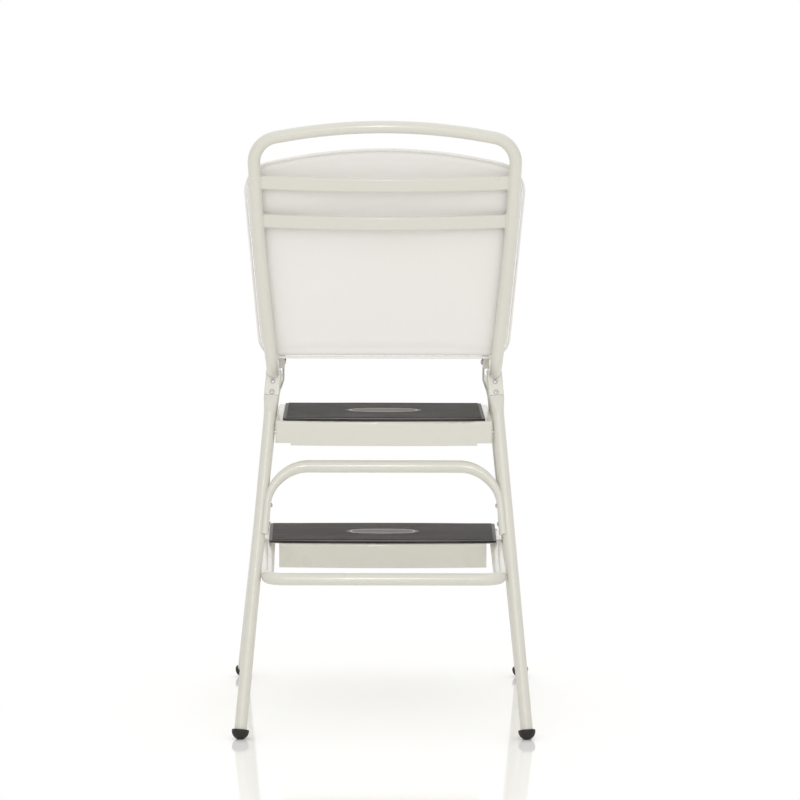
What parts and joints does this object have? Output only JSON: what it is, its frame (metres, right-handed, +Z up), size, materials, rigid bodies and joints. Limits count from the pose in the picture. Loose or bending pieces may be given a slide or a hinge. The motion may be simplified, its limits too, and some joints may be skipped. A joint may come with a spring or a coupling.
{
  "type": "step stool chair",
  "caption": "Tubular metal step stool chair with a padded flip-up seat standing against a hoop back, two ribbed steps and rubber-tipped splayed legs",
  "frame": {"origin": "on the floor, at the middle of the bounding box of the chair as it stands with its seat up", "axes": "+Z up, +Y towards the chair's front where the lower step is, X across the chair, which is symmetric about X = 0"},
  "size_m": [0.4574, 0.5324, 0.8819],
  "materials": {
    "frame_paint": "gloss",
    "step_paint": "gloss",
    "seat_vinyl": "satin",
    "welt_vinyl": "satin",
    "board": "matte",
    "step_rubber": "matte",
    "foot_rubber": "matte",
    "bumper_rubber": "matte",
    "plug_plastic": "satin",
    "zinc_steel": "satin"
  },
  "bodies": {
    "frame": {"back_hoop": "frame_paint", "upper_slat": "frame_paint", "lower_slat": "frame_paint", "rail_plugs": "plug_plastic", "rear_brace": "frame_paint", "brace_rivets": "zinc_steel", "step_stretcher": "frame_paint", "stretcher_rivets": "zinc_steel", "stretcher_plugs": "plug_plastic", "upper_step_pan": "step_paint", "upper_step_mat": "step_rubber", "upper_step_rivets": "zinc_steel", "lower_step_pan": "step_paint", "lower_step_mat": "step_rubber", "lower_step_rivets": "zinc_steel", "leg_top_rivets": "zinc_steel", "front_leg_rivets": "zinc_steel", "hinge_pins": "zinc_steel", "rear_leg_left": "frame_paint", "rear_leg_right": "frame_paint", "front_leg_left": "frame_paint", "front_leg_right": "frame_paint", "rear_foot_left": "foot_rubber", "rear_foot_right": "foot_rubber", "front_foot_left": "foot_rubber", "front_foot_right": "foot_rubber", "leg_tab_left": "frame_paint", "leg_tab_right": "frame_paint", "hinge_bracket_left": "frame_paint", "hinge_bracket_right": "frame_paint"},
    "seat": {"seat_board": "board", "seat_cushion": "seat_vinyl", "seat_welt": "welt_vinyl", "arm_screws": "zinc_steel", "seat_bumpers": "bumper_rubber", "hinge_arm_left": "frame_paint", "hinge_arm_right": "frame_paint"}
  },
  "joints": [
    {"name": "seat_flip", "type": "hinge", "parent": "frame", "child": "seat", "pos_m": [0, -0.09832, 0.533], "axis": [-1, 0, 0], "range_deg": [0, 99.4]}
  ]
}
